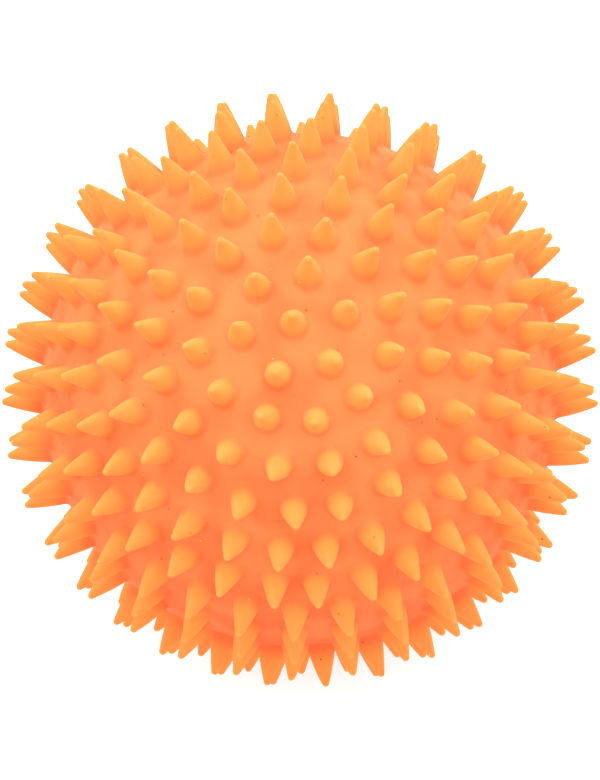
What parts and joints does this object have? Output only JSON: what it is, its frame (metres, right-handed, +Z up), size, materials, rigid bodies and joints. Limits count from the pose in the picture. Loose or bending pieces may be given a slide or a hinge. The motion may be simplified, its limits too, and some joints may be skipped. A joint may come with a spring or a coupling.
{
  "type": "spiky ball",
  "caption": "Soft hollow vinyl ball covered in rings of blunt conical spikes, with a reed squeaker snapped into its lower pole that sounds when the ball is squeezed.",
  "frame": {"origin": "on the surface the ball stands on, under the ball's centre", "axes": "+Z up along the axis of the spike rings, from the squeaker to the pole spike; the picture looks from the -Y side and high above, with +X to its right"},
  "size_m": [0.12, 0.1198, 0.1163],
  "materials": {
    "vinyl_skin": "satin, slightly translucent soft vinyl",
    "squeaker_plastic": "satin natural white moulding",
    "reed_film": "thin stiff film"
  },
  "bodies": {
    "ball": {"spiked_shell": "vinyl_skin", "squeaker_housing": "squeaker_plastic", "tone_board": "squeaker_plastic", "reed_wedge": "squeaker_plastic"},
    "reed_tongue": {"reed": "reed_film"}
  },
  "joints": [
    {"name": "reed_flex", "type": "hinge", "parent": "ball", "child": "reed_tongue", "pos_m": [0, 0, 0.01126], "axis": [1, 0, 0], "range_deg": [-3.5, 2], "stiffness_Nm_per_rad": 0.003}
  ]
}
